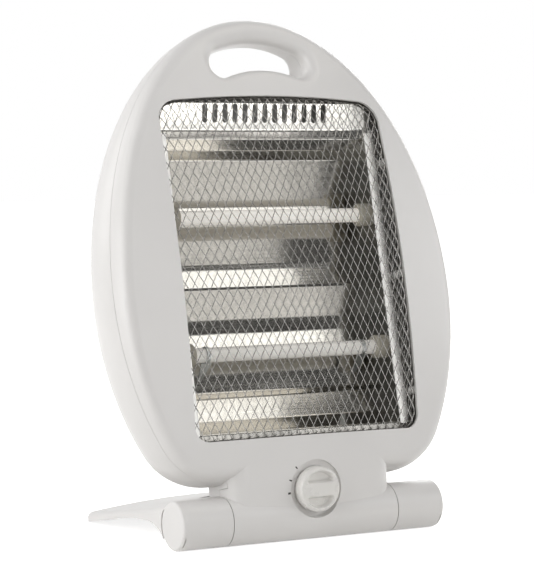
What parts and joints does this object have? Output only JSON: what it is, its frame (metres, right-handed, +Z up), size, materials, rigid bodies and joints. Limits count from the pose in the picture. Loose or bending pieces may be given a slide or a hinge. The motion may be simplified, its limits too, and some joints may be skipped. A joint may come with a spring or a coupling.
{
  "type": "quartz heater",
  "caption": "Free-standing quartz radiant heater with an egg-shaped leaning casing, carrying slot, domed grille, rotary knob and a hinged foot plate.",
  "frame": {"origin": "On the floor, under the middle of the whole heater's bounding box.", "axes": "+X to the right as the heater is seen from the front, +Y to the back, +Z up. The casing leans back by 14 degrees."},
  "size_m": [0.2668, 0.1582, 0.3515],
  "materials": {
    "casing_plastic": "satin",
    "grille_wire": "bright plated wire",
    "reflector_sheet": "polished",
    "quartz": "frosted",
    "resistance_wire": "oxidised",
    "ceramic": "unglazed",
    "steel": "zinc plated",
    "switch_plastic": "moulded",
    "block_plastic": "moulded",
    "bush_rubber": "moulded",
    "wire_sleeve": "woven sleeve",
    "washer_fibre": "fibre"
  },
  "bodies": {
    "casing": {"front_shell": "casing_plastic", "rear_shell": "casing_plastic", "grille_mesh": "grille_wire", "reflector": "reflector_sheet", "reflector_end_left": "reflector_sheet", "reflector_end_right": "reflector_sheet", "quartz_tube_upper": "quartz", "quartz_tube_lower": "quartz", "heating_coil_upper": "resistance_wire", "heating_coil_lower": "resistance_wire", "ceramic_cap_upper_left": "ceramic", "ceramic_cap_upper_right": "ceramic", "ceramic_cap_lower_left": "ceramic", "ceramic_cap_lower_right": "ceramic", "ceramic_clips": "steel", "lower_tube_lugs": "steel", "shell_screws": "steel", "grille_screws": "steel", "rotary_switch": "switch_plastic", "tip_switch": "switch_plastic", "terminal_block": "block_plastic", "thermal_cutout": "steel", "cord_bush": "bush_rubber", "wiring_left": "wire_sleeve", "wiring_right": "wire_sleeve", "hinge_axle": "steel", "friction_washers": "washer_fibre", "axle_clips": "steel"},
    "foot": {"foot": "casing_plastic", "knuckle_cap_left": "casing_plastic", "knuckle_cap_right": "casing_plastic"},
    "knob": {"control_knob": "casing_plastic", "switch_shaft": "switch_plastic"},
    "tip_weight": {"tip_weight": "steel"}
  },
  "joints": [
    {"name": "foot_hinge", "type": "hinge", "parent": "casing", "child": "foot", "pos_m": [0, -0.05887, 0.0165], "axis": [1, 0, 0], "range_deg": [-14, 12]},
    {"name": "knob_turn", "type": "hinge", "parent": "casing", "child": "knob", "pos_m": [0, -0.07273, 0.03593], "axis": [0, 1, 0], "range_deg": [0, 54]},
    {"name": "tip_swing", "type": "hinge", "parent": "casing", "child": "tip_weight", "pos_m": [-0.031, -0.05567, 0.04173], "axis": [1, 0, 0], "range_deg": [-20, 20]}
  ]
}
